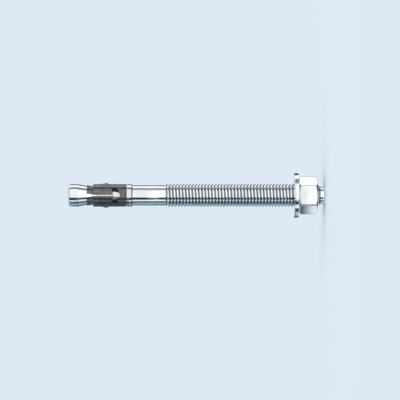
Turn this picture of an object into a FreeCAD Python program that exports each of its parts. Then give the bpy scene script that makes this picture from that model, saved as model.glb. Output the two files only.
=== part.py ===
import FreeCAD, Part
import math
import os
import Sketcher

# A torque-set wedge anchor, M12, standing on its threaded end with the cone at the top.
# Z runs up the bolt's axis and the origin is the middle of the bolt's flat lower end.
# The clip's slot faces -Y, its seam +Y and its two teeth +X and -X. Lengths are in millimetres.

V = FreeCAD.Vector
doc = FreeCAD.newDocument("wedge_anchor")

# Driving sizes
SIZES = [
    ("thread_diameter", 12.0, "major diameter of the bolt's thread"),
    ("thread_pitch", 1.75, "coarse pitch"),
    ("thread_length", 82.9, "threaded stretch"),
    ("pin_diameter", 9.1, "plain striking end below the thread"),
    ("pin_length", 2.6, "striking end, axially"),
    ("pin_edge_radius", 1.0, "rounding of the striking end"),
    ("shank_length", 18.6, "plain shank above the thread"),
    ("collar_diameter", 12.0, "collar that drives the clip in"),
    ("collar_length", 2.9, "collar, axially"),
    ("collar_edge_chamfer", 0.4, "chamfer of the collar's two edges"),
    ("neck_diameter", 7.8, "neck that the clip sits on"),
    ("neck_length", 16.0, "neck, axially"),
    ("cone_half_angle", 11.7, "slope of the cone to the axis, in degrees"),
    ("head_diameter", 12.0, "large end of the cone"),
    ("head_length", 5.4, "cylindrical land past the cone, with its rounding"),
    ("head_edge_radius", 1.55, "rounding of the cone's flat end"),
    ("clip_length", 21.25, "clip from its lower edge to its lip"),
    ("clip_sheet", 2.0, "thickness of the sheet that the clip is rolled from"),
    ("clip_neck_gap", 0.15, "running gap between clip and neck, on the radius"),
    ("clip_end_gap", 0.1, "gap between clip and collar, and between lip and cone"),
    ("clip_edge_chamfer", 0.3, "chamfer of the clip's lower edge"),
    ("clip_shoulder_chamfer", 0.5, "chamfer of the shoulder behind the lip"),
    ("lip_length", 3.0, "thinned lip that lies on the cone, axially"),
    ("lip_sheet", 0.45, "thickness of the lip"),
    ("slot_width", 0.95, "slot between the two jaws, and the seam"),
    ("notch_inner_width", 1.4, "width of the lip's notch at its shoulder"),
    ("notch_outer_width", 2.3, "width of the lip's notch at its free edge"),
    ("band_width", 3.5, "unbroken band below the window"),
    ("window_reach", 4.28, "half width of the window, along the sheet"),
    ("window_arc_radius", 5.0, "long arc of the window"),
    ("window_lobe_radius", 1.43, "round end of each lobe of the window"),
    ("window_slope", 18.0, "fall of the window's upper edge to the slot, in degrees"),
    ("window_taper", 0.9, "width of the window at the bore plane, as a share of that outside"),
    ("tooth_level", 9.55, "clip's lower edge to the foot of a tooth"),
    ("tooth_drop", 1.0, "steep end of a tooth, axially"),
    ("tooth_ramp", 3.4, "long slope of a tooth, axially"),
    ("tooth_height", 0.75, "height of a tooth over the sheet"),
    ("tooth_half_angle", 35.0, "half of the arc that a tooth covers at its crest"),
    ("tooth_root", 0.3, "depth of a tooth's two feet below the sheet's face"),
    ("dent_depth", 0.6, "depth of the hollow pressed behind each tooth"),
    ("washer_diameter", 24.0, "outside of the washer"),
    ("washer_bore", 13.0, "hole of the washer"),
    ("washer_thickness", 2.5, "washer, axially"),
    ("washer_edge_chamfer", 0.4, "chamfer of the washer's two rims"),
    ("washer_gap", 0.05, "gap between washer and nut"),
    ("nut_flats", 18.0, "nut across its flats"),
    ("nut_corners", 20.2, "nut across its blunted corners"),
    ("nut_height", 10.0, "nut, axially"),
    ("nut_level", 3.9, "bolt's lower end to the nut's outer face"),
    ("nut_chamfer_angle", 30.0, "slope of the corner chamfers to the faces, in degrees"),
    ("nut_face_diameter", 17.0, "flat ring inside the corner chamfers"),
    ("nut_thread_gap", 0.06, "running gap between nut and thread, on the radius"),
    ("nut_mouth", 0.7, "countersink of the nut's two mouths"),
]
sizes = doc.addObject("Spreadsheet::Sheet", "sizes")
for row, (alias, value, meaning) in enumerate(SIZES, start=1):
    sizes.set(f"A{row}", meaning)
    sizes.set(f"B{row}", str(value))
    sizes.setAlias(f"B{row}", alias)
doc.recompute()

# Radii and levels that follow from the driving sizes
DERIVED = [
    ("thread_radius", "sizes.thread_diameter / 2"),
    ("thread_depth", "0.6134 * sizes.thread_pitch"),
    ("shank_radius", "(sizes.thread_diameter - 0.6495 * sizes.thread_pitch) / 2"),
    ("thread_root", "thread_radius - thread_depth"),
    ("thread_bottom", "sizes.pin_length"),
    ("thread_top", "thread_bottom + sizes.thread_length"),
    ("shank_top", "thread_top + sizes.shank_length"),
    ("collar_top", "shank_top + sizes.collar_length"),
    ("neck_top", "collar_top + sizes.neck_length"),
    ("cone_slope", "tan(sizes.cone_half_angle * 1deg)"),
    ("cone_top", "neck_top + (sizes.head_diameter - sizes.neck_diameter) / 2 / cone_slope"),
    ("bolt_top", "cone_top + sizes.head_length"),
    ("clip_bore", "sizes.neck_diameter / 2 + sizes.clip_neck_gap"),
    ("clip_face", "clip_bore + sizes.clip_sheet"),
    ("clip_bottom", "collar_top + sizes.clip_end_gap"),
    ("clip_top", "clip_bottom + sizes.clip_length"),
    ("clip_shoulder", "clip_top - sizes.lip_length"),
    ("lip_gap", "sizes.clip_end_gap / cos(sizes.cone_half_angle * 1deg)"),
    ("flare_bottom", "neck_top + (sizes.clip_neck_gap - lip_gap) / cone_slope"),
    ("lip_bore_top", "sizes.neck_diameter / 2 + lip_gap + (clip_top - neck_top) * cone_slope"),
    ("lip_face_top", "lip_bore_top + sizes.lip_sheet"),
    ("lip_face_bottom", "lip_face_top - sizes.lip_length * cone_slope"),
    ("window_bottom", "clip_bottom + sizes.band_width"),
    ("window_centre", "window_bottom + sizes.window_arc_radius"),
    ("tooth_foot", "clip_bottom + sizes.tooth_level"),
    ("tooth_crest", "tooth_foot + sizes.tooth_drop"),
    ("tooth_end", "tooth_crest + sizes.tooth_ramp"),
    ("drop_overrun", "sizes.tooth_root * sizes.tooth_drop / sizes.tooth_height"),
    ("ramp_overrun", "sizes.tooth_root * sizes.tooth_ramp / sizes.tooth_height"),
    ("tooth_rise", "clip_face * (1 - cos(sizes.tooth_half_angle * 1deg)) + sizes.tooth_height"),
    ("tooth_axis", "sizes.tooth_height * (2 * clip_face + sizes.tooth_height) / (2 * tooth_rise)"),
    ("washer_bottom", "sizes.nut_level + sizes.nut_height + sizes.washer_gap"),
    ("nut_bore", "thread_radius + sizes.nut_thread_gap"),
    ("nut_mouth_radius", "nut_bore + sizes.nut_mouth"),
    ("nut_sharp_corner", "sizes.nut_flats / 2 / cos(30deg)"),
    ("nut_chamfer_height",
     "(sizes.nut_corners - sizes.nut_face_diameter) / 2 * tan(sizes.nut_chamfer_angle * 1deg)"),
]
levels = doc.addObject("Spreadsheet::Sheet", "levels")
for row, (alias, formula) in enumerate(DERIVED, start=1):
    levels.set(f"B{row}", "=" + formula)
    levels.setAlias(f"B{row}", alias)
    doc.recompute()


def size(alias):
    """A driving size as a number."""
    return float(getattr(sizes, alias))


def level(alias):
    """A derived radius or level as a number."""
    return float(getattr(levels, alias))


def new_body(label):
    """An empty body that will hold one sub-part."""
    body = doc.addObject("PartDesign::Body", label)
    body.Label = label
    return body


def new_sketch(body, name, role="XZ_Plane"):
    """A sketch on one of the body's own origin planes."""
    plane = next(f for f in body.Origin.OriginFeatures if f.Role == role)
    sketch = body.newObject("Sketcher::SketchObject", name)
    sketch.AttachmentSupport = [(plane, "")]
    sketch.MapMode = "FlatFace"
    doc.recompute()
    return sketch


def place_point(sketch, line, end, axis, formula, name):
    """Ties one coordinate of a line's end to a formula, or to the other axis where it is zero."""
    value = float(sketch.evalExpression(formula))
    if abs(value) < 1e-9:
        other = {"DistanceX": -2, "DistanceY": -1}[axis]
        sketch.addConstraint(Sketcher.Constraint("PointOnObject", line, end, other))
        return
    number = sketch.addConstraint(Sketcher.Constraint(axis, -1, 1, line, end, value))
    sketch.renameConstraint(number, name)
    sketch.setExpression(f"Constraints.{name}", formula)


def draw_outline(sketch, corners):
    """A closed outline of straight lines through corners, each a pair of formulas."""
    points = [V(*[float(sketch.evalExpression(f)) for f in corner], 0) for corner in corners]
    count = len(points)
    first = sketch.GeometryCount
    for i in range(count):
        sketch.addGeometry(Part.LineSegment(points[i], points[(i + 1) % count]), False)
    for i in range(count):
        following = first + (i + 1) % count
        sketch.addConstraint(Sketcher.Constraint("Coincident", first + i, 2, following, 1))
    for i, (across, up) in enumerate(corners):
        place_point(sketch, first + i, 1, "DistanceX", across, f"across_{i}")
        place_point(sketch, first + i, 1, "DistanceY", up, f"up_{i}")


def draw_axis(sketch, across, bottom, top):
    """A construction line parallel to Z, which a feature can turn about."""
    x, low, high = [float(sketch.evalExpression(f)) for f in (across, bottom, top)]
    line = sketch.addGeometry(Part.LineSegment(V(x, low, 0), V(x, high, 0)), True)
    sketch.addConstraint(Sketcher.Constraint("Vertical", line))
    place_point(sketch, line, 1, "DistanceX", across, "axis_across")
    place_point(sketch, line, 1, "DistanceY", bottom, "axis_bottom")
    place_point(sketch, line, 2, "DistanceY", top, "axis_top")


def turn(body, kind, name, sketch, axis="V_Axis"):
    """Turns a sketch a full turn, adding or cutting."""
    feature = body.newObject(f"PartDesign::{kind}", name)
    feature.Profile = sketch
    feature.ReferenceAxis = (sketch, [axis])
    feature.Angle = 360
    body.Tip = feature
    doc.recompute()
    return feature


def dress_rings(body, kind, name, base, rings, amount):
    """Rounds or chamfers the circular edges of base at the given pairs of radius and height."""
    names = []
    for number, edge in enumerate(base.Shape.Edges, start=1):
        if not isinstance(edge.Curve, Part.Circle) or edge.Curve.Axis.cross(V(0, 0, 1)).Length > 1e-6:
            continue
        for ring_radius, height in rings:
            same_radius = abs(edge.Curve.Radius - ring_radius) < 1e-5
            if same_radius and abs(edge.Curve.Center.z - height) < 1e-5:
                names.append(f"Edge{number}")
    feature = body.newObject(f"PartDesign::{kind}", name)
    feature.Base = (base, names)
    feature.setExpression({"Fillet": "Radius", "Chamfer": "Size"}[kind], amount)
    body.Tip = feature
    doc.recompute()
    return feature


def build_bolt():
    """The turned bolt: striking end, thread blank, shank, collar, neck and cone."""
    body = new_body("anchor_bolt")
    sketch = new_sketch(body, "bolt_section")
    draw_outline(sketch, [
        ("0", "0"),
        ("sizes.pin_diameter / 2", "0"),
        ("sizes.pin_diameter / 2", "levels.thread_bottom"),
        ("levels.thread_root", "levels.thread_bottom"),
        ("levels.thread_radius", "levels.thread_bottom + levels.thread_depth"),
        ("levels.thread_radius", "levels.thread_top - levels.thread_depth / 2"),
        ("levels.shank_radius", "levels.thread_top"),
        ("levels.shank_radius", "levels.shank_top"),
        ("sizes.collar_diameter / 2", "levels.shank_top"),
        ("sizes.collar_diameter / 2", "levels.collar_top"),
        ("sizes.neck_diameter / 2", "levels.collar_top"),
        ("sizes.neck_diameter / 2", "levels.neck_top"),
        ("sizes.head_diameter / 2", "levels.cone_top"),
        ("sizes.head_diameter / 2", "levels.bolt_top"),
        ("0", "levels.bolt_top"),
    ])
    turned = turn(body, "Revolution", "bolt_turning", sketch)
    pin_ring = (size("pin_diameter") / 2, 0)
    head_ring = (size("head_diameter") / 2, level("bolt_top"))
    collar_rings = [
        (size("collar_diameter") / 2, level("shank_top")),
        (size("collar_diameter") / 2, level("collar_top")),
    ]
    pin = dress_rings(body, "Fillet", "pin_rounding", turned, [pin_ring], "sizes.pin_edge_radius")
    collar = dress_rings(body, "Chamfer", "collar_edges", pin, collar_rings, "sizes.collar_edge_chamfer")
    dress_rings(body, "Fillet", "head_rounding", collar, [head_ring], "sizes.head_edge_radius")
    return body


def build_clip_blank():
    """The rolled sleeve with its lip, teeth and slots, before its windows are punched."""
    body = new_body("clip_blank")

    outside = new_sketch(body, "clip_outside")
    draw_outline(outside, [
        ("0", "levels.clip_bottom"),
        ("levels.clip_face", "levels.clip_bottom"),
        ("levels.clip_face", "levels.clip_shoulder"),
        ("levels.lip_face_bottom", "levels.clip_shoulder"),
        ("levels.lip_face_top", "levels.clip_top"),
        ("0", "levels.clip_top"),
    ])
    sleeve = turn(body, "Revolution", "clip_rolling", outside)
    lower_ring = (level("clip_face"), level("clip_bottom"))
    shoulder_ring = (level("clip_face"), level("clip_shoulder"))
    edged = dress_rings(body, "Chamfer", "lower_edge", sleeve, [lower_ring], "sizes.clip_edge_chamfer")
    dress_rings(body, "Chamfer", "shoulder_edge", edged, [shoulder_ring], "sizes.clip_shoulder_chamfer")

    # Each tooth is a double cone on an axis of its own, so it meets the sleeve in a teardrop
    tooth = new_sketch(body, "tooth_section")
    draw_outline(tooth, [
        ("levels.tooth_axis", "levels.tooth_foot - levels.drop_overrun"),
        ("levels.clip_face - sizes.tooth_root", "levels.tooth_foot - levels.drop_overrun"),
        ("levels.clip_face + sizes.tooth_height", "levels.tooth_crest"),
        ("levels.clip_face - sizes.tooth_root", "levels.tooth_end + levels.ramp_overrun"),
        ("levels.tooth_axis", "levels.tooth_end + levels.ramp_overrun"),
    ])
    draw_axis(tooth, "levels.tooth_axis", "levels.clip_bottom", "levels.clip_top")
    pressed = turn(body, "Revolution", "tooth_pressing", tooth, "Axis0")
    teeth = body.newObject("PartDesign::Mirrored", "tooth_pair")
    teeth.Originals = [pressed]
    teeth.MirrorPlane = (next(f for f in body.Origin.OriginFeatures if f.Role == "YZ_Plane"), [""])
    body.Tip = teeth
    doc.recompute()

    # The bore clears the neck and opens along the cone
    bore = new_sketch(body, "clip_inside")
    draw_outline(bore, [
        ("0", "levels.clip_bottom - 1"),
        ("levels.clip_bore", "levels.clip_bottom - 1"),
        ("levels.clip_bore", "levels.flare_bottom"),
        ("levels.lip_bore_top + levels.cone_slope", "levels.clip_top + 1"),
        ("0", "levels.clip_top + 1"),
    ])
    turn(body, "Groove", "clip_boring", bore)

    # The hollow that pressing a tooth leaves behind it
    dent = new_sketch(body, "dent_section")
    draw_outline(dent, [
        ("levels.tooth_axis", "levels.tooth_foot - levels.drop_overrun"),
        ("levels.clip_bore - sizes.tooth_root", "levels.tooth_foot - levels.drop_overrun"),
        ("levels.clip_bore + sizes.dent_depth", "levels.tooth_crest"),
        ("levels.clip_bore - sizes.tooth_root", "levels.tooth_end + levels.ramp_overrun"),
        ("levels.tooth_axis", "levels.tooth_end + levels.ramp_overrun"),
    ])
    draw_axis(dent, "levels.tooth_axis", "levels.clip_bottom", "levels.clip_top")
    dented = turn(body, "Groove", "dent_pressing", dent, "Axis0")
    dents = body.newObject("PartDesign::Mirrored", "dent_pair")
    dents.Originals = [dented]
    dents.MirrorPlane = (next(f for f in body.Origin.OriginFeatures if f.Role == "YZ_Plane"), [""])
    body.Tip = dents
    doc.recompute()
    return body


def cut_through(body, name, sketch, both_ways):
    """Cuts a sketch on the XZ plane out of the sleeve, towards +Y or both ways."""
    pocket = body.newObject("PartDesign::Pocket", name)
    pocket.Profile = sketch
    pocket.SideType = "Symmetric" if both_ways else "One side"
    pocket.setExpression("Length", "levels.clip_face * 3")
    body.Tip = pocket
    doc.recompute()
    return pocket


def window_edge(points, depth, share):
    """A curve through points of the sheet's face, carried along Y to the plane depth from the axis.

    A point u along the sheet stands at the angle u / clip_face round the sleeve, so it is
    clip_face * sin(angle) to the side. The share narrows the window towards the bore.
    """
    face = level("clip_face")
    carried = [V(share * face * math.sin(u / face), -depth, z) for u, z in points]
    curve = Part.BSplineCurve()
    curve.interpolate(carried)
    return curve.toShape()


def arc_points(centre_u, centre_z, radius, start, stop, count):
    """Points of a circular arc on the flat sheet, with angles in radians from the sheet's width."""
    angles = [start + (stop - start) * i / (count - 1) for i in range(count)]
    return [(centre_u + radius * math.cos(a), centre_z + radius * math.sin(a)) for a in angles]


def window_outline():
    """The window on the flat sheet, as five curves: its long arc, its two lobes and its two slopes."""
    arc = size("window_arc_radius")
    lobe = size("window_lobe_radius")
    arc_centre = level("window_centre")
    lobe_u = size("window_reach") - lobe
    lobe_z = arc_centre - math.sqrt((arc - lobe) ** 2 - lobe_u ** 2)
    touch = math.atan2(lobe_z - arc_centre, lobe_u)
    slope = math.radians(size("window_slope"))
    long_arc = arc_points(0, arc_centre, arc, -math.pi - touch, touch, 17)
    right_lobe = arc_points(lobe_u, lobe_z, lobe, touch, math.pi / 2 + slope, 13)
    end_u, end_z = right_lobe[-1]
    right_slope = [(end_u * (1 - i / 4), end_z - end_u * i / 4 * math.tan(slope)) for i in range(5)]
    left_slope = [(-u, z) for u, z in reversed(right_slope)]
    left_lobe = [(-u, z) for u, z in reversed(right_lobe)]
    return [long_arc, right_lobe, right_slope, left_slope, left_lobe]


def build_window_punch():
    """A punch for the slot's window and one for the seam's, each a little narrower inside."""
    outline = window_outline()
    planes = [(0, size("window_taper")), (level("clip_face") + 1, 1)]
    wires = [Part.Wire([window_edge(points, *plane) for points in outline]) for plane in planes]
    front = Part.makeLoft(wires, True, True)
    back = front.copy()
    back.rotate(V(0, 0, 0), V(0, 0, 1), 180)
    punch = doc.addObject("Part::Feature", "window_punch")
    punch.Shape = Part.makeCompound([front, back])
    return punch


def build_clip():
    """The clip: its blank, slotted, then punched."""
    body = build_clip_blank()
    slot = new_sketch(body, "slot_outline")
    draw_outline(slot, [
        ("sizes.slot_width / 2", "levels.window_bottom + sizes.window_lobe_radius"),
        ("sizes.slot_width / 2", "levels.clip_shoulder"),
        ("sizes.notch_inner_width / 2", "levels.clip_shoulder"),
        ("sizes.notch_outer_width / 2", "levels.clip_top"),
        ("sizes.notch_outer_width / 2", "levels.clip_top + 1"),
        ("-sizes.notch_outer_width / 2", "levels.clip_top + 1"),
        ("-sizes.notch_outer_width / 2", "levels.clip_top"),
        ("-sizes.notch_inner_width / 2", "levels.clip_shoulder"),
        ("-sizes.slot_width / 2", "levels.clip_shoulder"),
        ("-sizes.slot_width / 2", "levels.window_bottom + sizes.window_lobe_radius"),
    ])
    cut_through(body, "slots", slot, True)
    seam = new_sketch(body, "seam_outline")
    draw_outline(seam, [
        ("sizes.slot_width / 2", "levels.clip_bottom - 1"),
        ("sizes.slot_width / 2", "levels.window_centre"),
        ("-sizes.slot_width / 2", "levels.window_centre"),
        ("-sizes.slot_width / 2", "levels.clip_bottom - 1"),
    ])
    cut_through(body, "seam", seam, False)
    clip = doc.addObject("Part::Cut", "expansion_clip")
    clip.Base = body
    clip.Tool = build_window_punch()
    doc.recompute()
    return clip


def build_washer():
    """The flat washer, resting on the nut."""
    body = new_body("washer")
    sketch = new_sketch(body, "washer_section")
    top = "levels.washer_bottom + sizes.washer_thickness"
    draw_outline(sketch, [
        ("sizes.washer_bore / 2", "levels.washer_bottom"),
        ("sizes.washer_diameter / 2", "levels.washer_bottom"),
        ("sizes.washer_diameter / 2", top),
        ("sizes.washer_bore / 2", top),
    ])
    ring = turn(body, "Revolution", "washer_stamping", sketch)
    bottom = level("washer_bottom")
    rim = [(size("washer_diameter") / 2, bottom + up) for up in (0, size("washer_thickness"))]
    dress_rings(body, "Chamfer", "washer_edges", ring, rim, "sizes.washer_edge_chamfer")
    return body


def build_nut():
    """The hexagon nut, a flat towards -Y and corners towards +X and -X."""
    body = new_body("hex_nut")
    hexagon = new_sketch(body, "hexagon", "XY_Plane")
    hexagon.setExpression("AttachmentOffset.Base.z", "sizes.nut_level")
    corner = "levels.nut_sharp_corner"
    turns = [f"{60 * i}deg" for i in range(6)]
    draw_outline(hexagon, [(f"{corner} * cos({a})", f"{corner} * sin({a})") for a in turns])
    prism = body.newObject("PartDesign::Pad", "nut_prism")
    prism.Profile = hexagon
    prism.setExpression("Length", "sizes.nut_height")
    body.Tip = prism
    doc.recompute()

    top = "sizes.nut_level + sizes.nut_height"
    blunting = new_sketch(body, "corner_section")
    draw_outline(blunting, [
        ("sizes.nut_face_diameter / 2", "sizes.nut_level"),
        ("sizes.nut_corners / 2", "sizes.nut_level + levels.nut_chamfer_height"),
        ("sizes.nut_corners / 2", f"{top} - levels.nut_chamfer_height"),
        ("sizes.nut_face_diameter / 2", top),
        (f"{corner} + 1", top),
        (f"{corner} + 1", "sizes.nut_level"),
    ])
    turn(body, "Groove", "corner_blunting", blunting)

    bore = new_sketch(body, "nut_bore_section")
    draw_outline(bore, [
        ("0", "sizes.nut_level"),
        ("levels.nut_mouth_radius", "sizes.nut_level"),
        ("levels.nut_bore", "sizes.nut_level + sizes.nut_mouth"),
        ("levels.nut_bore", f"{top} - sizes.nut_mouth"),
        ("levels.nut_mouth_radius", top),
        ("0", top),
    ])
    turn(body, "Groove", "nut_boring", bore)
    return body


sub_parts = [build_bolt(), build_clip(), build_washer(), build_nut()]
doc.recompute()
for item in doc.Objects:
    if "Invalid" in item.State or "Error" in item.State:
        raise RuntimeError(f"{item.Label} did not recompute")
for part in sub_parts:
    if part.Shape.isNull() or not part.Shape.isValid() or len(part.Shape.Solids) != 1:
        raise RuntimeError(f"{part.Label} is not one sound solid")

os.makedirs("parts", exist_ok=True)
for part in sub_parts:
    part.Shape.exportStep(f"parts/{part.Label}.step")
    box = part.Shape.optimalBoundingBox()
    print(f"{part.Label}: volume {part.Shape.Volume:.2f}, from {box.ZMin:.3f} to {box.ZMax:.3f}")
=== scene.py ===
"""Looks of an M12 torque-set wedge anchor that stands on its threaded end, seen from its side.

The anchor's axis is Z, from the striking end at z = 0 to the cone. The camera looks along +Y and
is rolled a quarter turn, so that the cone is at the picture's left and +X is up.
"""

import math

import bmesh
import bpy
import numpy as np
from mathutils import Matrix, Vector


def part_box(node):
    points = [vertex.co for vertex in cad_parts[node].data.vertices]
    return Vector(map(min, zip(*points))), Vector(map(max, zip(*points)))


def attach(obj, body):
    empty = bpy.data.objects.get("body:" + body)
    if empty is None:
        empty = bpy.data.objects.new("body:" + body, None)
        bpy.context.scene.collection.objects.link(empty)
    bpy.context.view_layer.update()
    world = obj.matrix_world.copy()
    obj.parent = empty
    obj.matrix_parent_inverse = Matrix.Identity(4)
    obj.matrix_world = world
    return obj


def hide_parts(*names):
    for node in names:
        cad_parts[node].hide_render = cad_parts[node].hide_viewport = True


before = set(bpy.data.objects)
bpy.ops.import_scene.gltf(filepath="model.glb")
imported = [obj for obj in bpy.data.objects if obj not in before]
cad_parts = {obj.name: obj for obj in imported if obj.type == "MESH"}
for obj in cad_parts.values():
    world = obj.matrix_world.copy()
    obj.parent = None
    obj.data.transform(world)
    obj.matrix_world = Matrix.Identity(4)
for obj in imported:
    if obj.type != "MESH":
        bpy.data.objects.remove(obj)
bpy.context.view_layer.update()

MM = 0.001

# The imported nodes' own levels and radii
bolt_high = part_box("anchor_bolt")[1]
nut_low, nut_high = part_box("hex_nut")
washer_low, washer_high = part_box("washer")
THREAD_R = bolt_high.x
BOLT_TOP = bolt_high.z
BOLT_MIDDLE = BOLT_TOP / 2
NUT_BOTTOM = nut_low.z
NUT_TOP = nut_high.z
NUT_FLAT = nut_high.y
WASHER_R = washer_high.x
WASHER_BOTTOM = washer_low.z
WASHER_TOP = washer_high.z

# Rolled thread, in metres: its crest passes +X at the crest level
PITCH = 1.75 * MM
THREAD_DEPTH = 0.6134 * PITCH
ROOT_R = THREAD_R - THREAD_DEPTH
THREAD_TOP = 85.5 * MM
CREST_LEVEL = 85.0 * MM
# The crest's edge is rounded over a share of the crest's width and sinks by a share of the depth,
# and the root's edge stands a share of the depth above the root
CREST_ROUNDING = 0.35
CREST_SINK = 0.06
ROOT_RISE = 0.05
# How many times faster than over one pitch the run-out sinks the crests and raises the roots
CREST_RATE = 5.5
ROOT_RATE = 1.2

# Bolt, in metres, its shank as thick as the thread's pitch diameter. The roundings say how far an
# edge is cut back along each side.
PIN_R = 4.55 * MM
PIN_LENGTH = 2.6 * MM
PIN_ROUNDING = 1.0 * MM
SHANK_R = THREAD_R - 0.6495 * PITCH / 2
SHANK_TOP = 104.1 * MM
COLLAR_TOP = 107.0 * MM
NECK_R = 3.9 * MM
NECK_TOP = 123.0 * MM
CONE_ANGLE = math.radians(11.7)
CONE_TOP = NECK_TOP + (THREAD_R - NECK_R) / math.tan(CONE_ANGLE)
HEAD_ROUNDING = 1.55 * MM
EDGE = 0.15 * MM
SOFT_EDGE = EDGE * 2

# Nut and washer, in metres, the nut's thread a little shallower than the bolt's
NUT_SIDES = 6
NUT_HALF_SIDE = math.radians(30)
NUT_CORNER_ROUNDING = 1.3 * MM
NUT_FACE_R = 8.5 * MM
NUT_CHAMFER = math.tan(math.radians(30))
NUT_MOUTH = 0.7 * MM
NUT_CLEARANCE = 0.08 * MM
NUT_DEPTH = THREAD_DEPTH * 0.88
WASHER_BORE_R = 6.5 * MM
WASHER_ROUNDING = 0.45 * MM

# Fineness of the meshes: columns round a piece or along a side of the nut, the distances at which
# points merge and an edge counts as empty, and the angle from which an edge is shaded sharp
BOLT_COLUMNS = 144
WASHER_COLUMNS = 160
FLAT_COLUMNS = 15
CORNER_COLUMNS = 9
MERGE_WITHIN = 0.002 * MM
EMPTY_BELOW = 0.001 * MM
SHARP_FROM = math.radians(40)

# Zinc plating: colours as sRGB, pattern sizes in millimetres. Its grain is about 0.05 mm and is
# drawn coarser, so that it shows.
ZINC_LIGHT = "#EEF0F1"
ZINC_BLUE = "#DCE3E9"
# Painted shade for the thread's roots
ROOT_PAINTED_SHADE = "#B2B8BD"
# Painted shade for the corners where the diameter steps
PAINTED_CORNER_SHADE = "#30363B"
ZINC_TINT_SIZE = 7
ZINC_GRAIN_SIZE = 0.35
ZINC_ROUGHNESS = (0.07, 0.17)
NECK_ROUGHNESS = 0.25
# The painted shade in a corner is full up to one distance from the step and ends at another
CORNER_SHADE_FULL = 0.18 * MM
CORNER_SHADE_END = 0.42 * MM
CORNER_SHADE_SHARE = 0.85

# Phosphate coat, given in the same way. Its crystals are about 0.02 mm and are drawn coarser.
COAT_DARK = "#55565A"
COAT_LIGHT = "#7A7B7D"
COAT_CLOUD_SIZE = 1.8
COAT_CRYSTAL_SIZE = 0.25
COAT_CRYSTAL_SHARE = 0.5
COAT_ROUGHNESS = (0.14, 0.26)

# The photograph's frame in pixels, and the lens and sensor in millimetres
PICTURE_SIDE = 400
MM_PER_PIXEL = 0.5414
AXIS_ROW = 195.45
CONE_COLUMN = 68.5
LENS = 200.0
SENSOR = 36.0

# Floor, backdrop and lamps, in metres: the floor is solid near the anchor and clear at its rim
BACK_PALE = "#DFE9F4"
FLOOR_R = 0.35
FLOOR_SOLID_R = 0.06
FLOOR_CLEAR_R = FLOOR_R * 0.95
FLOOR_RINGS = 9
FLOOR_COLUMNS = 64
DOME_STRENGTH = 0.86
LAMP_SIDE = 0.9

# Where cards hang over the level, in degrees from and to: the whole anchor shows those at the side
# rise, and the part that a rise is named for shows those at the others. The edge is the outline
# seen from the side, and the back is the outline seen from behind.
SIDE_RISE = (-47, 47)
BODY_RISE = (-6.4, 47)
CLIP_RISE = (6.2, 9.9)
SHANK_RISE = (1, 8)
WASHER_RISE = (-9, -6.4)
FOOT_RISE = (-11.5, -9)
CONE_RISE = (-20, -11.5)
EDGE_RISE = (-22, 20)
BACK_RISE = (-32, 32)

# What several cards share: colours, one brightness all over, ends that don't fade, and how many
# degrees the outlines' ends fade over
WHITE_CARD = "#FFFFFF"
DARK_CARD = "#2B333A"
BLACK_CARD = "#0B0E12"
EVEN = (1.0, 1.0)
HARD = 0
EDGE_FADE = 10
BACK_FADE = 6

# Studio cards round the anchor, which metal shows as bands: name, the turn from the camera's
# direction towards +X and the rise, each from and to in degrees, colour, brightness below and
# above the graded stretch, and the degrees over which its lower and upper ends fade. Each card
# hangs a little in front of the last.
CARDS = [
    ("front_panel", (-21, 60), SIDE_RISE, WHITE_CARD, (1.35, 1.04), HARD),
    ("upper_card", (67, 97), SIDE_RISE, "#8E9398", EVEN, HARD),
    ("upper_shank_card", (67, 97), SHANK_RISE, "#B8BCC0", EVEN, HARD),
    ("upper_panel", (99, 126), SIDE_RISE, WHITE_CARD, (1.5, 1.5), HARD),
    ("upper_edge_card", (129, 172), EDGE_RISE, DARK_CARD, EVEN, EDGE_FADE),
    ("line_card", (-50, -24), BODY_RISE, BLACK_CARD, EVEN, HARD),
    ("washer_line_card", (-50, -33), WASHER_RISE, BLACK_CARD, EVEN, HARD),
    ("foot_line_card", (-44, -33), FOOT_RISE, BLACK_CARD, EVEN, HARD),
    ("cone_line_card", (-50, -24), CONE_RISE, BLACK_CARD, EVEN, HARD),
    ("lower_panel", (-69, -50), SIDE_RISE, "#EEF4FB", (1.15, 1.15), HARD),
    ("lower_card", (-95, -70), SIDE_RISE, "#2C6269", EVEN, HARD),
    ("lower_pale_card", (-137, -97), SIDE_RISE, "#A4CBD1", EVEN, HARD),
    ("graded_card", (-126, -114), SIDE_RISE, "#D5D9DE", (1.42, 0.12), HARD),
    ("lower_edge_card", (-172, -138), EDGE_RISE, DARK_CARD, EVEN, EDGE_FADE),
    ("upper_back_card", (158, 176), BACK_RISE, DARK_CARD, EVEN, BACK_FADE),
    ("lower_back_card", (-176, -158), BACK_RISE, DARK_CARD, EVEN, BACK_FADE),
    ("high_ring", (-100, 100), (50, 76), "#343B41", EVEN, HARD),
    ("low_back_card", (156, 204), (-68, -42), "#10151A", EVEN, HARD),
    ("clip_line_card", (-50, -24), CLIP_RISE, "#7C7F82", EVEN, HARD),
    ("clip_dark_card", (-93, -54), CLIP_RISE, BLACK_CARD, EVEN, HARD),
    ("clip_lower_card", (-137, -93), CLIP_RISE, "#74777A", EVEN, HARD),
]
CARD_REACH = 0.55
CARD_STEP = 2 * MM
CARD_COLUMNS = 41
CARD_ROWS = 9
# The stretch over which a card goes from its lower brightness to its upper one
GRADE_FOOT = -38 * MM
GRADE_HEAD = 12 * MM


# Surfaces, each a grid of rows along a section and columns round the axis

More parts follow.
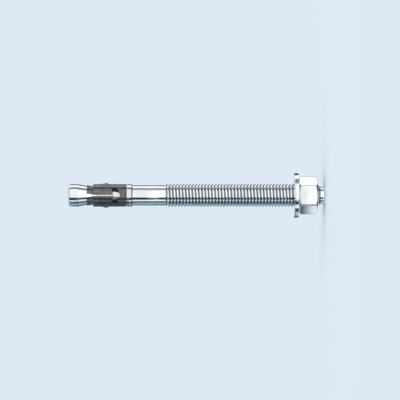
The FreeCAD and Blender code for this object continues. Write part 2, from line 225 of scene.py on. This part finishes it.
def rounded(corners, cuts, steps):
    """A section's corners with their edges rounded.

    Each corner P, cut back by d towards its neighbours to A and B, becomes the curve
    (1 - t)^2 A + 2 t (1 - t) P + t^2 B. Corners are arrays of (radius, height), with one value
    for each column.
    """
    corners = np.asarray(corners, float)
    t = np.linspace(0, 1, steps + 1)[:, None, None]
    rows = [corners[:1]]
    for before, corner, after, cut in zip(corners, corners[1:], corners[2:], cuts):
        if cut == 0:
            rows.append(corner[None])
            continue
        back = (before - corner) / np.linalg.norm(before - corner, axis=0)
        onward = (after - corner) / np.linalg.norm(after - corner, axis=0)
        start, stop = corner + back * cut, corner + onward * cut
        rows.append((1 - t) ** 2 * start + 2 * t * (1 - t) * corner + t ** 2 * stop)
    rows.append(corners[-1:])
    return np.concatenate(rows)


def section(points, columns):
    """Section points as rows, where a radius or a height is one number or one for each column."""
    return [[np.broadcast_to(value, columns) for value in point] for point in points]


def round_angles(columns):
    """The angle of each column of a round piece."""
    return np.arange(columns) * 2 * math.pi / columns


def turned(rows, angles):
    """Points round the axis: (radius cos a, radius sin a, height) for rows of (radius, height)."""
    radius, height = rows[:, 0], rows[:, 1]
    return np.stack([radius * np.cos(angles), radius * np.sin(angles), height], axis=-1)


def helix(angles, low, high, profile, limit):
    """A single-start right-hand thread between two levels, with rows that follow its crest.

    Row k of column a stands at crest level + (turn + share + a / 2 pi) pitch and has its profile
    point's radius. Rows past either end are laid on that end, where they merge. limit(radius,
    height) holds the radius to the chamfer, the countersinks and the run-out.
    """
    shares, radii = np.array(profile).T
    first = math.floor((low - CREST_LEVEL) / PITCH) - 2
    last = math.ceil((high - CREST_LEVEL) / PITCH) + 2
    steps = (np.arange(first, last)[:, None] + shares).ravel()
    height = CREST_LEVEL + (steps[:, None] + angles / (2 * math.pi)) * PITCH
    height = np.clip(height, low, high)
    phase = ((height - CREST_LEVEL) / PITCH - angles / (2 * math.pi)) % 1
    radius = np.interp(phase, np.append(shares, 1), np.append(radii, radii[0]))
    return turned(np.stack([limit(radius, height), height], axis=1), angles)


def grid_quads(rows, columns, first, shift):
    """Quads of a grid closed round the axis, whose last column meets the first shift rows up."""
    k, i = np.meshgrid(np.arange(rows - 1), np.arange(columns), indexing="ij")
    step = np.where(i == columns - 1, shift, 0)
    beside = (i + 1) % columns
    inside = k + 1 + step < rows
    quads = np.stack([k * columns + i, (k + step) * columns + beside,
                      (k + 1 + step) * columns + beside, (k + 1) * columns + i], axis=-1)
    return quads[inside] + first


def make_piece(name, blocks):
    """A closed mesh of grid blocks, each points and its seam's shift, merged where they meet."""
    points = np.concatenate([grid.reshape(-1, 3) for grid, shift in blocks])
    quads = []
    first = 0
    for grid, shift in blocks:
        quads.append(grid_quads(grid.shape[0], grid.shape[1], first, shift))
        first += grid.shape[0] * grid.shape[1]
    mesh = bpy.data.meshes.new(name)
    mesh.from_pydata(points.tolist(), [], np.concatenate(quads).tolist())
    shape = bmesh.new()
    shape.from_mesh(mesh)
    bmesh.ops.remove_doubles(shape, verts=shape.verts, dist=MERGE_WITHIN)
    bmesh.ops.dissolve_degenerate(shape, edges=shape.edges, dist=EMPTY_BELOW)
    bmesh.ops.recalc_face_normals(shape, faces=shape.faces)
    open_edges = sum(not edge.is_manifold for edge in shape.edges)
    shape.to_mesh(mesh)
    shape.free()
    mesh.shade_smooth()
    mesh.set_sharp_from_angle(angle=SHARP_FROM)
    piece = bpy.data.objects.new(name, mesh)
    bpy.context.scene.collection.objects.link(piece)
    print(f"{name}: {len(mesh.polygons)} faces, {open_edges} open edges")
    return piece


def thread_profile(crest, root, crest_share, root_share):
    """One pitch of a 60-degree thread as shares of the pitch and radii, from the crest's middle."""
    edge = CREST_ROUNDING * crest_share
    bend = crest + (root - crest) * CREST_SINK
    floor = root + (crest - root) * ROOT_RISE
    half = [
        (0, crest), (crest_share / 2 - edge / 2, crest), (crest_share / 2 + edge / 2, bend),
        (0.5 - root_share / 2, floor), (0.5 - root_share / 4, root), (0.5, root),
    ]
    mirrored = [(1 - share, radius) for share, radius in reversed(half[1:-1])]
    return half + mirrored


def build_bolt():
    """The bolt: striking end, rolled thread, shank, collar, neck and cone."""
    angles = round_angles(BOLT_COLUMNS)
    lower = rounded(section([
        (0, 0), (PIN_R, 0), (PIN_R, PIN_LENGTH), (ROOT_R, PIN_LENGTH),
    ], BOLT_COLUMNS), [PIN_ROUNDING, 0], steps=10)
    upper = rounded(section([
        (SHANK_R, THREAD_TOP), (SHANK_R, SHANK_TOP), (THREAD_R, SHANK_TOP),
        (THREAD_R, COLLAR_TOP), (NECK_R, COLLAR_TOP), (NECK_R, NECK_TOP), (THREAD_R, CONE_TOP),
        (THREAD_R, BOLT_TOP), (0, BOLT_TOP),
    ], BOLT_COLUMNS), [EDGE, SOFT_EDGE, SOFT_EDGE, EDGE, EDGE, SOFT_EDGE, HEAD_ROUNDING], steps=8)

    def limit(radius, height):
        """Chamfer at the lower end; at the upper end crests sink and roots rise to the shank."""
        chamfer = ROOT_R + (height - PIN_LENGTH)
        fade = np.clip((THREAD_TOP - height) / PITCH, 0, 1)
        ceiling = SHANK_R + (THREAD_R - SHANK_R) * np.clip(fade * CREST_RATE, 0, 1)
        floor = SHANK_R - (SHANK_R - ROOT_R) * np.clip(fade * ROOT_RATE, 0, 1)
        return np.minimum(np.clip(radius, floor, ceiling), chamfer)

    profile = thread_profile(THREAD_R, ROOT_R, crest_share=0.3, root_share=0.07)
    thread = helix(angles, PIN_LENGTH, THREAD_TOP, profile, limit)
    blocks = [(turned(lower, angles), 0), (thread, len(profile)), (turned(upper, angles), 0)]
    return make_piece("zinc_bolt", blocks)


def hexagon_columns():
    """Angles of the nut's columns and the hexagon's radius there, its corners rounded.

    On a flat the radius is flat / cos(a), a from the flat's middle. On a corner's arc it is
    d cos(b) + sqrt(e^2 - d^2 sin^2(b)), b from the corner, with the arc's centre at d and its
    radius e.
    """
    arc = NUT_CORNER_ROUNDING
    end = math.atan((NUT_FLAT - arc) * math.tan(NUT_HALF_SIDE) / NUT_FLAT)
    flat = np.linspace(-end, end, FLAT_COLUMNS)
    corner = np.linspace(end, 2 * NUT_HALF_SIDE - end, CORNER_COLUMNS)[1:-1]
    centre = (NUT_FLAT - arc) / math.cos(NUT_HALF_SIDE)
    off = corner - NUT_HALF_SIDE
    arc_radius = centre * np.cos(off) + np.sqrt(arc ** 2 - (centre * np.sin(off)) ** 2)
    side_angles = np.concatenate([flat, corner])
    side_radii = np.concatenate([NUT_FLAT / np.cos(flat), arc_radius])
    turns = NUT_HALF_SIDE * (1 + 2 * np.arange(NUT_SIDES))
    return (turns[:, None] + side_angles).ravel(), np.tile(side_radii, NUT_SIDES)


def build_nut():
    """The hexagon nut with its corner chamfers, countersinks and inner thread."""
    angles, reach = hexagon_columns()
    crest = THREAD_R - NUT_DEPTH + NUT_CLEARANCE
    root = THREAD_R + NUT_CLEARANCE
    mouth = root + NUT_MOUTH
    drop = (reach - NUT_FACE_R) * NUT_CHAMFER
    lower_throat = NUT_BOTTOM + NUT_MOUTH
    upper_throat = NUT_TOP - NUT_MOUTH
    outside = rounded(section([
        (root, lower_throat), (mouth, NUT_BOTTOM), (NUT_FACE_R, NUT_BOTTOM),
        (reach, NUT_BOTTOM + drop), (reach, NUT_TOP - drop), (NUT_FACE_R, NUT_TOP),
        (mouth, NUT_TOP), (root, upper_throat),
    ], len(angles)), [EDGE, EDGE, SOFT_EDGE, SOFT_EDGE, EDGE, EDGE], steps=4)

    def limit(radius, height):
        """The bore is never narrower than the countersink's cone at either mouth."""
        near = np.minimum(height - NUT_BOTTOM, NUT_TOP - height)
        return np.maximum(radius, np.clip(mouth - near, crest, mouth))

    profile = thread_profile(root, crest, crest_share=0.22, root_share=0.14)
    thread = helix(angles, lower_throat, upper_throat, profile, limit)
    return make_piece("zinc_nut", [(turned(outside, angles), 0), (thread, len(profile))])


def build_washer():
    """The flat washer, its rim rounded by the punch and its bore's edges a little less."""
    angles = round_angles(WASHER_COLUMNS)
    middle = (WASHER_BOTTOM + WASHER_TOP) / 2
    ring = rounded(section([
        (WASHER_BORE_R, middle), (WASHER_BORE_R, WASHER_BOTTOM), (WASHER_R, WASHER_BOTTOM),
        (WASHER_R, WASHER_TOP), (WASHER_BORE_R, WASHER_TOP), (WASHER_BORE_R, middle),
    ], WASHER_COLUMNS), [EDGE, WASHER_ROUNDING, WASHER_ROUNDING, EDGE], steps=6)
    return make_piece("zinc_washer", [(turned(ring, angles), 0)])


# Materials

def linear(code):
    """An sRGB hex colour as four linear channels."""
    channels = [int(code[i:i + 2], 16) / 255 for i in (1, 3, 5)]
    shades = [c / 12.92 if c <= 0.04045 else ((c + 0.055) / 1.055) ** 2.4 for c in channels]
    return shades + [1.0]


def per(millimetres):
    """The scale that gives a pattern a feature of that size on Object coordinates in metres."""
    return 1 / (millimetres * MM)


def add(tree, kind, settings=None, inputs=None):
    """Adds a node, sets its attributes, and gives each input a value or another node's output.

    A colour Mix has its share on input 0, its colours on 6 and 7 and its result on output 2. A
    number Mix has its numbers on 2 and 3 and its result on output 0.
    """
    node = tree.nodes.new(kind)
    for name, value in (settings or {}).items():
        setattr(node, name, value)
    for name, value in (inputs or {}).items():
        if isinstance(value, bpy.types.NodeSocket):
            tree.links.new(value, node.inputs[name])
        else:
            node.inputs[name].default_value = value
    return node


def new_material(name):
    """A material with an empty node tree, and that tree."""
    material = bpy.data.materials.new(name)
    material.use_nodes = True
    material.node_tree.nodes.clear()
    return material, material.node_tree


def with_painted_shade(tree, colour, radius, level):
    """The bolt's colour with painted shade.

    Painted shade darkens the thread's root, and painted shade darkens the corners where
    the diameter steps.
    """
    # Painted shade in the thread's roots, fading out at the pin and at the shank
    sunk = add(tree, "ShaderNodeMapRange", {"interpolation_type": "SMOOTHSTEP"}, {
        "Value": radius, "From Min": THREAD_R, "From Max": ROOT_R})
    below_shank = add(tree, "ShaderNodeMapRange", inputs={
        "Value": level, "From Min": THREAD_TOP + 0.1 * MM, "From Max": THREAD_TOP - 0.6 * MM})
    above_pin = add(tree, "ShaderNodeMapRange", inputs={
        "Value": level, "From Min": PIN_LENGTH, "From Max": PIN_LENGTH + 0.2 * MM})
    share = add(tree, "ShaderNodeMath", {"operation": "MULTIPLY"}, {
        0: sunk.outputs[0], 1: below_shank.outputs[0]})
    share = add(tree, "ShaderNodeMath", {"operation": "MULTIPLY"}, {
        0: share.outputs[0], 1: above_pin.outputs[0]})
    colour = add(tree, "ShaderNodeMix", {"data_type": "RGBA"}, {
        0: share.outputs[0], 6: colour, 7: linear(ROOT_PAINTED_SHADE)}).outputs[2]
    # Painted shade in a ring at each step of the diameter
    for corner in (PIN_LENGTH, THREAD_TOP, SHANK_TOP):
        off = add(tree, "ShaderNodeMath", {"operation": "SUBTRACT"}, {0: level, 1: corner})
        away = add(tree, "ShaderNodeMath", {"operation": "ABSOLUTE"}, {0: off.outputs[0]})
        dark = add(tree, "ShaderNodeMapRange", {"interpolation_type": "SMOOTHSTEP"}, {
            "Value": away.outputs[0], "From Min": CORNER_SHADE_END, "From Max": CORNER_SHADE_FULL,
            "To Max": CORNER_SHADE_SHARE})
        colour = add(tree, "ShaderNodeMix", {"data_type": "RGBA"}, {
            0: dark.outputs[0], 6: colour, 7: linear(PAINTED_CORNER_SHADE)}).outputs[2]
    return colour


def rough_neck(tree, gloss, radius, level):
    """The bolt's roughness: the tool that forms the neck leaves it rougher than the drawn rest."""
    out = add(tree, "ShaderNodeMapRange", inputs={
        "Value": radius, "From Min": NECK_R + 0.1 * MM, "From Max": NECK_R + 0.4 * MM})
    above = add(tree, "ShaderNodeMapRange", inputs={
        "Value": level, "From Min": NECK_TOP, "From Max": NECK_TOP + 1.5 * MM})
    drawn = add(tree, "ShaderNodeMath", {"operation": "MAXIMUM"}, {
        0: out.outputs[0], 1: above.outputs[0]})
    return add(tree, "ShaderNodeMix", inputs={
        0: drawn.outputs[0], 2: NECK_ROUGHNESS, 3: gloss}).outputs[0]


def bright_zinc(name, threaded=False):
    """Zinc plated steel, electroplated and blue passivated.

    A bright, slightly bluish metal with a fine grain, whose tint wanders over a few millimetres.
    """
    material, tree = new_material(name)
    place = add(tree, "ShaderNodeTexCoord").outputs["Object"]
    cloud = add(tree, "ShaderNodeTexNoise", inputs={
        "Vector": place, "Scale": per(ZINC_TINT_SIZE), "Detail": 3.0})
    share = add(tree, "ShaderNodeMapRange", inputs={
        "Value": cloud.outputs["Fac"], "From Min": 0.38, "From Max": 0.64})
    colour = add(tree, "ShaderNodeMix", {"data_type": "RGBA"}, {
        0: share.outputs[0], 6: linear(ZINC_LIGHT), 7: linear(ZINC_BLUE)}).outputs[2]
    grain = add(tree, "ShaderNodeTexNoise", inputs={
        "Vector": place, "Scale": per(ZINC_GRAIN_SIZE), "Detail": 2.0})
    gloss = add(tree, "ShaderNodeMapRange", inputs={
        "Value": grain.outputs["Fac"], "To Min": ZINC_ROUGHNESS[0],
        "To Max": ZINC_ROUGHNESS[1]}).outputs[0]
    if threaded:
        flat = add(tree, "ShaderNodeVectorMath", {"operation": "MULTIPLY"}, {
            0: place, 1: (1.0, 1.0, 0.0)})
        radius = add(tree, "ShaderNodeVectorMath", {"operation": "LENGTH"}, {
            0: flat.outputs[0]}).outputs["Value"]
        level = add(tree, "ShaderNodeSeparateXYZ", inputs={0: place}).outputs["Z"]
        # The bolt gets painted shade in its thread roots and at its steps
        colour = with_painted_shade(tree, colour, radius, level)
        gloss = rough_neck(tree, gloss, radius, level)
    bump = add(tree, "ShaderNodeBump", inputs={
        "Height": grain.outputs["Fac"], "Strength": 0.2, "Distance": 0.015 * MM})
    shader = add(tree, "ShaderNodeBsdfPrincipled", inputs={
        "Base Color": colour, "Metallic": 1.0, "Roughness": gloss, "Normal": bump.outputs[0]})
    add(tree, "ShaderNodeOutputMaterial", inputs={"Surface": shader.outputs[0]})
    return material


def coated_sheet(name):
    """Phosphated sheet steel, punched and rolled: dark grey, dull, with a fine crystal grain."""
    material, tree = new_material(name)
    place = add(tree, "ShaderNodeTexCoord").outputs["Object"]
    cloud = add(tree, "ShaderNodeTexNoise", inputs={
        "Vector": place, "Scale": per(COAT_CLOUD_SIZE), "Detail": 4.0})
    crystal = add(tree, "ShaderNodeTexNoise", inputs={
        "Vector": place, "Scale": per(COAT_CRYSTAL_SIZE), "Detail": 2.0})
    spread = add(tree, "ShaderNodeMath", {"operation": "MULTIPLY_ADD"}, {
        0: crystal.outputs["Fac"], 1: COAT_CRYSTAL_SHARE, 2: cloud.outputs["Fac"]})
    share = add(tree, "ShaderNodeMapRange", inputs={
        "Value": spread.outputs[0], "From Min": 0.5, "From Max": 1.0})
    tint = add(tree, "ShaderNodeMix", {"data_type": "RGBA"}, {
        0: share.outputs[0], 6: linear(COAT_DARK), 7: linear(COAT_LIGHT)})
    gloss = add(tree, "ShaderNodeMapRange", inputs={
        "Value": crystal.outputs["Fac"], "To Min": COAT_ROUGHNESS[0],
        "To Max": COAT_ROUGHNESS[1]})
    bump = add(tree, "ShaderNodeBump", inputs={
        "Height": crystal.outputs["Fac"], "Strength": 0.35, "Distance": 0.03 * MM})
    shader = add(tree, "ShaderNodeBsdfPrincipled", inputs={
        "Base Color": tint.outputs[2], "Metallic": 0.85, "Roughness": gloss.outputs[0],
        "Normal": bump.outputs[0]})
    add(tree, "ShaderNodeOutputMaterial", inputs={"Surface": shader.outputs[0]})
    return material


def dress(piece, material, body, slot, *nodes):
    """Gives a new piece its material and its body, and hides the nodes that it stands for. The slot
    is not used.
    """
    piece.data.materials.clear()
    piece.data.materials.append(material)
    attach(piece, body)
    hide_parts(*nodes)


# Studio

def place_camera():
    """The camera square on the anchor's side, rolled so that the picture's up is +X."""
    data = bpy.data.cameras.new("side_camera")
    data.lens = LENS
    data.sensor_width = SENSOR
    camera = bpy.data.objects.new("side_camera", data)
    bpy.context.scene.collection.objects.link(camera)
    span = PICTURE_SIDE * MM_PER_PIXEL * MM
    distance = span * LENS / SENSOR
    aim_x = (AXIS_ROW - PICTURE_SIDE / 2) * MM_PER_PIXEL * MM
    aim_z = BOLT_TOP - (PICTURE_SIDE / 2 - CONE_COLUMN) * MM_PER_PIXEL * MM
    camera.matrix_world = Matrix((
        (0, 1, 0, aim_x), (0, 0, -1, -distance), (-1, 0, 0, aim_z), (0, 0, 0, 1)))
    bpy.context.scene.camera = camera


def place_floor():
    """A pale round floor that fades out into the backdrop."""
    rings = [(radius, 0) for radius in np.linspace(0, FLOOR_R, FLOOR_RINGS)]
    grid = turned(np.array(section(rings, FLOOR_COLUMNS)), round_angles(FLOOR_COLUMNS))
    quads = grid_quads(FLOOR_RINGS, FLOOR_COLUMNS, 0, 0)
    mesh = bpy.data.meshes.new("floor")
    mesh.from_pydata(grid.reshape(-1, 3).tolist(), [], quads.tolist())
    floor = bpy.data.objects.new("floor", mesh)
    bpy.context.scene.collection.objects.link(floor)
    material, tree = new_material("pale_floor")
    place = add(tree, "ShaderNodeTexCoord").outputs["Object"]
    reach = add(tree, "ShaderNodeVectorMath", {"operation": "LENGTH"}, {0: place})
    fade = add(tree, "ShaderNodeMapRange", {"interpolation_type": "SMOOTHSTEP"}, {
        "Value": reach.outputs["Value"], "From Min": FLOOR_SOLID_R, "From Max": FLOOR_CLEAR_R})
    body = add(tree, "ShaderNodeBsdfDiffuse", inputs={"Color": linear(BACK_PALE)})
    clear = add(tree, "ShaderNodeBsdfTransparent")
    mixed = add(tree, "ShaderNodeMixShader", inputs={
        0: fade.outputs[0], 1: body.outputs[0], 2: clear.outputs[0]})
    add(tree, "ShaderNodeOutputMaterial", inputs={"Surface": mixed.outputs[0]})
    mesh.materials.append(material)
    floor.visible_glossy = False


def place_world():
    """A soft even dome, seen pale by the camera and in reflections."""
    world = bpy.data.worlds.new("studio")
    world.use_nodes = True
    tree = world.node_tree
    tree.nodes.clear()
    path = add(tree, "ShaderNodeLightPath")
    seen = add(tree, "ShaderNodeMath", {"operation": "MAXIMUM"}, {
        0: path.outputs["Is Camera Ray"], 1: path.outputs["Is Glossy Ray"]})
    seen = add(tree, "ShaderNodeMath", {"operation": "MAXIMUM"}, {
        0: seen.outputs[0], 1: path.outputs["Is Transmission Ray"]})
    dome = add(tree, "ShaderNodeBackground", inputs={
        "Color": linear("#FFFFFF"), "Strength": DOME_STRENGTH})
    backdrop = add(tree, "ShaderNodeBackground", inputs={
        "Color": linear(BACK_PALE), "Strength": 1.0})
    mixed = add(tree, "ShaderNodeMixShader", inputs={
        0: seen.outputs[0], 1: dome.outputs[0], 2: backdrop.outputs[0]})
    add(tree, "ShaderNodeOutputWorld", inputs={"Surface": mixed.outputs[0]})
    bpy.context.scene.world = world


def place_lamp(name, place, watts):
    """A soft square lamp that faces the anchor's middle.

    Its own +Z points back from the anchor to the lamp, and its +X lies level.
    """
    data = bpy.data.lights.new(name, "AREA")
    data.shape = "SQUARE"
    data.size = LAMP_SIDE
    data.energy = watts
    lamp = bpy.data.objects.new(name, data)
    bpy.context.scene.collection.objects.link(lamp)
    back = np.array(place) - (0, 0, BOLT_MIDDLE)
    back /= np.linalg.norm(back)
    side = np.cross((0.0, 0.0, 1.0), back)
    side /= np.linalg.norm(side)
    turn = np.column_stack([side, np.cross(back, side), back])
    lamp.matrix_world = Matrix([[*turn[i], place[i]] for i in range(3)] + [[0, 0, 0, 1]])


def place_card(name, turns, rises, colour, strengths, fade, reach):
    """A curved card that shows only in reflections.

    Its points are R (cos e sin a, -cos e cos a, sin e) from the anchor's middle, for its turns a,
    rises e and reach R.
    """
    a = np.radians(np.linspace(*turns, CARD_COLUMNS))
    e = np.radians(np.linspace(*rises, CARD_ROWS))[:, None]
    points = reach * np.stack(np.broadcast_arrays(
        np.cos(e) * np.sin(a), -np.cos(e) * np.cos(a), np.sin(e)), axis=-1)
    points[..., 2] += BOLT_MIDDLE
    row, column = np.meshgrid(np.arange(CARD_ROWS - 1), np.arange(CARD_COLUMNS - 1), indexing="ij")
    first = (row * CARD_COLUMNS + column).ravel()
    above = first + CARD_COLUMNS
    quads = np.stack([first, first + 1, above + 1, above], axis=-1)
    mesh = bpy.data.meshes.new(name)
    mesh.from_pydata(points.reshape(-1, 3).tolist(), [], quads.tolist())
    card = bpy.data.objects.new(name, mesh)
    bpy.context.scene.collection.objects.link(card)
    material, tree = new_material(name)
    place = add(tree, "ShaderNodeTexCoord").outputs["Object"]
    level = add(tree, "ShaderNodeSeparateXYZ", inputs={0: place}).outputs["Z"]
    grade = add(tree, "ShaderNodeMapRange", inputs={
        "Value": level, "From Min": GRADE_FOOT, "From Max": GRADE_HEAD,
        "To Min": strengths[0], "To Max": strengths[1]})
    surface = add(tree, "ShaderNodeEmission", inputs={
        "Color": linear(colour), "Strength": grade.outputs[0]})
    if fade:
        soft = reach * math.sin(math.radians(fade))
        foot, head = points[0, 0, 2], points[-1, 0, 2]
        above_foot = add(tree, "ShaderNodeMapRange", {"interpolation_type": "SMOOTHSTEP"}, {
            "Value": level, "From Min": foot, "From Max": foot + soft})
        below_head = add(tree, "ShaderNodeMapRange", {"interpolation_type": "SMOOTHSTEP"}, {
            "Value": level, "From Min": head, "From Max": head - soft})
        shown = add(tree, "ShaderNodeMath", {"operation": "MULTIPLY"}, {
            0: above_foot.outputs[0], 1: below_head.outputs[0]})
        clear = add(tree, "ShaderNodeBsdfTransparent")
        surface = add(tree, "ShaderNodeMixShader", inputs={
            0: shown.outputs[0], 1: clear.outputs[0], 2: surface.outputs[0]})
    add(tree, "ShaderNodeOutputMaterial", inputs={"Surface": surface.outputs[0]})
    mesh.materials.append(material)
    card.visible_camera = False
    card.visible_diffuse = False
    card.visible_transmission = False
    card.visible_shadow = False


bolt = build_bolt()
nut = build_nut()
washer = build_washer()
bolt_zinc = bright_zinc("zinc_plated_bolt_steel", threaded=True)
nut_zinc = bright_zinc("zinc_plated_nut_steel")
washer_zinc = bright_zinc("zinc_plated_washer_steel")
dress(bolt, bolt_zinc, "bolt", "zinc_steel", "anchor_bolt")
dress(nut, nut_zinc, "nut", "zinc_steel", "hex_nut")
dress(washer, washer_zinc, "washer", "zinc_steel", "washer")

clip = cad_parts["expansion_clip"]
clip.data.materials.clear()
clip.data.materials.append(coated_sheet("phosphated_clip_steel"))

place_camera()
place_floor()
place_world()
place_lamp("key_lamp", (0.8, -0.7, 0.6), watts=2.2)
place_lamp("top_lamp", (0.0, -0.2, 1.2), watts=1.6)
for i, card in enumerate(CARDS):
    place_card(*card, CARD_REACH - i * CARD_STEP)

bpy.context.scene.view_settings.view_transform = "Standard"
